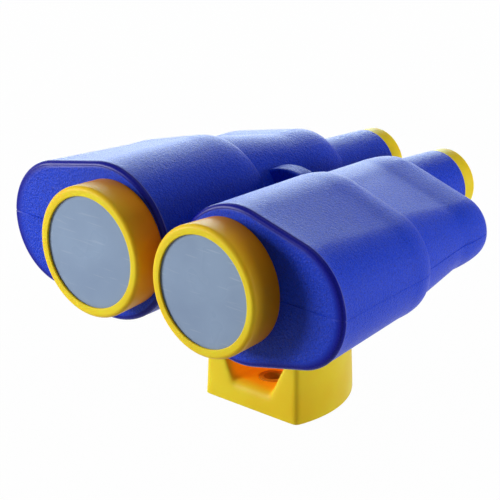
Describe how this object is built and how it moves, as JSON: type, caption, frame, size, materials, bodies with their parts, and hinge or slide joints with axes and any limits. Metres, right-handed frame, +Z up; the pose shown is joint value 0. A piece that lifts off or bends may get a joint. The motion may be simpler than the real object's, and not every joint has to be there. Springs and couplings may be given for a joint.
{
  "type": "toy binoculars",
  "caption": "Toy binoculars with stepped blue barrels, yellow rims and eyecups, on a yellow bolt-down foot in which the body tilts and on which it pans.",
  "frame": {"origin": "centre of the mounting face, where the swivel axis meets the surface that the foot stands on", "axes": "+Z up along the swivel axis, the objectives look towards -Y, +X to the right as seen from in front, so the left pieces are on the -X side"},
  "size_m": [0.2168, 0.1994, 0.134],
  "materials": {
    "blue_plastic": "fine spark-eroded grain, satin",
    "yellow_plastic": "smooth, satin gloss",
    "lens": "clear acrylic with a grey-blue tint",
    "steel": "zinc plated",
    "dark_plastic": "matt",
    "nylon": "natural nylon"
  },
  "bodies": {
    "bush": {"swivel_bush": "nylon"},
    "yoke": {"swivel_yoke": "yellow_plastic", "tilt_bolt": "steel", "tilt_nut": "steel", "tilt_washers": "steel", "left_friction_washer": "dark_plastic", "right_friction_washer": "dark_plastic"},
    "binocular": {"tilt_knuckle": "yellow_plastic", "knuckle_screws": "steel", "lower_shell": "blue_plastic", "upper_shell": "blue_plastic", "shell_screws": "steel", "left_objective_rim": "yellow_plastic", "right_objective_rim": "yellow_plastic", "left_objective_lens": "lens", "right_objective_lens": "lens", "left_objective_retainer": "dark_plastic", "right_objective_retainer": "dark_plastic", "left_eyecup": "yellow_plastic", "right_eyecup": "yellow_plastic", "left_eyepiece_lens": "lens", "right_eyepiece_lens": "lens", "left_eyepiece_retainer": "dark_plastic", "right_eyepiece_retainer": "dark_plastic"}
  },
  "joints": [
    {"name": "pan", "type": "hinge", "parent": "bush", "child": "yoke", "pos_m": [0, 0, 0], "axis": [0, 0, 1], "continuous": true},
    {"name": "tilt", "type": "hinge", "parent": "yoke", "child": "binocular", "pos_m": [0, 0, 0.04], "axis": [1, 0, 0], "range_deg": [-35, 35]}
  ]
}
